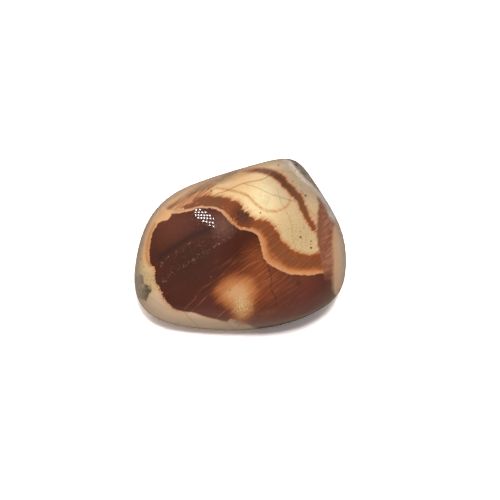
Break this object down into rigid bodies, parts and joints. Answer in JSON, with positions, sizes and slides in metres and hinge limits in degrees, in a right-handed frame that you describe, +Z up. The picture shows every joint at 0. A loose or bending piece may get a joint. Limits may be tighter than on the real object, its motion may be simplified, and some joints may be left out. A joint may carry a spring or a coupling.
{
  "type": "tumbled flower jasper stone",
  "caption": "Polished tumbled flower jasper: a rounded, wedge-like pebble with a broad brown and cream figured face, resting on a small flat spot.",
  "frame": {"origin": "on the surface the stone rests on, under the middle of its outline", "axes": "+X along the stone's length, +Y towards its back, +Z up; the figured face looks up and towards -Y"},
  "size_m": [0.0384, 0.0318, 0.0247],
  "materials": {
    "polished_jasper": "high polish, brown and cream figured jasper"
  },
  "bodies": {
    "root": {"stone": "polished_jasper"}
  },
  "joints": []
}
